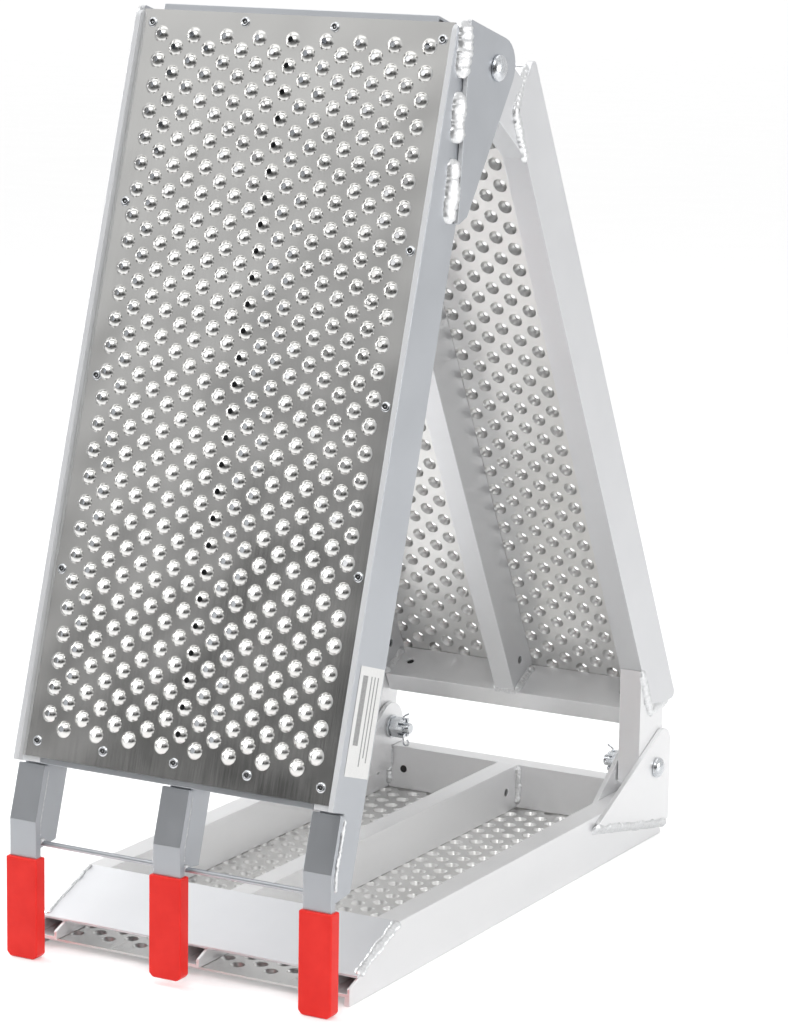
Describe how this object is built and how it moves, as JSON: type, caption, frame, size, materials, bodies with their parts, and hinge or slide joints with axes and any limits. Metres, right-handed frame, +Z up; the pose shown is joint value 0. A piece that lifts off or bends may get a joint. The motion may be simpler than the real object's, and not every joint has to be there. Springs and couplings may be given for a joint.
{
  "type": "folding loading ramp",
  "caption": "Folding aluminium loading ramp with punched anti-slip decks, lipped side rails, bolted hinges, and capped hook fingers that rest on a tailgate.",
  "frame": {"origin": "centre of the standing footprint at ground level, folded into the standing triangle", "axes": "+X across the ramp's width, +Y from the hook fingers towards the lower hinge, +Z up"},
  "size_m": [0.3644, 0.7158, 0.8661],
  "materials": {
    "rail_aluminium": "mill-finish extruded tube and plate",
    "deck_sheet": "satin rolled sheet with punched, raised holes",
    "plated_steel": "bright zinc-plated steel",
    "red_cap": "dip-moulded red plastic with a soft sheen"
  },
  "bodies": {
    "ground_section": {"approach_plate": "rail_aluminium", "ground_clevis_inner_left": "rail_aluminium", "ground_clevis_inner_right": "rail_aluminium", "ground_clevis_outer_left": "rail_aluminium", "ground_clevis_outer_right": "rail_aluminium", "ground_cross_back": "rail_aluminium", "ground_deck": "deck_sheet", "ground_rail_left": "rail_aluminium", "ground_rail_right": "rail_aluminium", "ground_rib": "rail_aluminium", "lower_bolt_left": "plated_steel", "lower_bolt_right": "plated_steel", "lower_cotter_left": "plated_steel", "lower_cotter_right": "plated_steel", "lower_nut_left": "plated_steel", "lower_nut_right": "plated_steel", "lower_washer_left": "plated_steel", "lower_washer_right": "plated_steel"},
    "middle_section": {"middle_cross_lower": "rail_aluminium", "middle_cross_upper": "rail_aluminium", "middle_deck": "deck_sheet", "middle_lug_lower_left": "rail_aluminium", "middle_lug_lower_right": "rail_aluminium", "middle_lug_upper_left": "rail_aluminium", "middle_lug_upper_right": "rail_aluminium", "middle_rail_left": "rail_aluminium", "middle_rail_right": "rail_aluminium", "middle_rib": "rail_aluminium"},
    "hook_section": {"hook_cap_left": "red_cap", "hook_cap_middle": "red_cap", "hook_cap_right": "red_cap", "hook_finger_left": "rail_aluminium", "hook_finger_middle": "rail_aluminium", "hook_finger_right": "rail_aluminium", "tie_rod_left": "rail_aluminium", "tie_rod_right": "rail_aluminium", "upper_bolt_left": "plated_steel", "upper_bolt_right": "plated_steel", "upper_cotter_left": "plated_steel", "upper_cotter_right": "plated_steel", "upper_cross_bottom": "rail_aluminium", "upper_cross_top": "rail_aluminium", "upper_deck": "deck_sheet", "upper_ear_inner_left": "rail_aluminium", "upper_ear_inner_right": "rail_aluminium", "upper_ear_outer_left": "rail_aluminium", "upper_ear_outer_right": "rail_aluminium", "upper_hook_stub": "rail_aluminium", "upper_nut_left": "plated_steel", "upper_nut_right": "plated_steel", "upper_rail_left": "rail_aluminium", "upper_rail_right": "rail_aluminium", "upper_rib": "rail_aluminium", "upper_washer_left": "plated_steel", "upper_washer_right": "plated_steel"}
  },
  "joints": [
    {"name": "lower_fold", "type": "hinge", "parent": "ground_section", "child": "middle_section", "pos_m": [0, 0.30832, 0.077], "axis": [-1, 0, 0], "range_deg": [0, 117.6]},
    {"name": "upper_fold", "type": "hinge", "parent": "middle_section", "child": "hook_section", "pos_m": [0, -0.07899, 0.81787], "axis": [-1, 0, 0], "range_deg": [0, 135.5]}
  ]
}
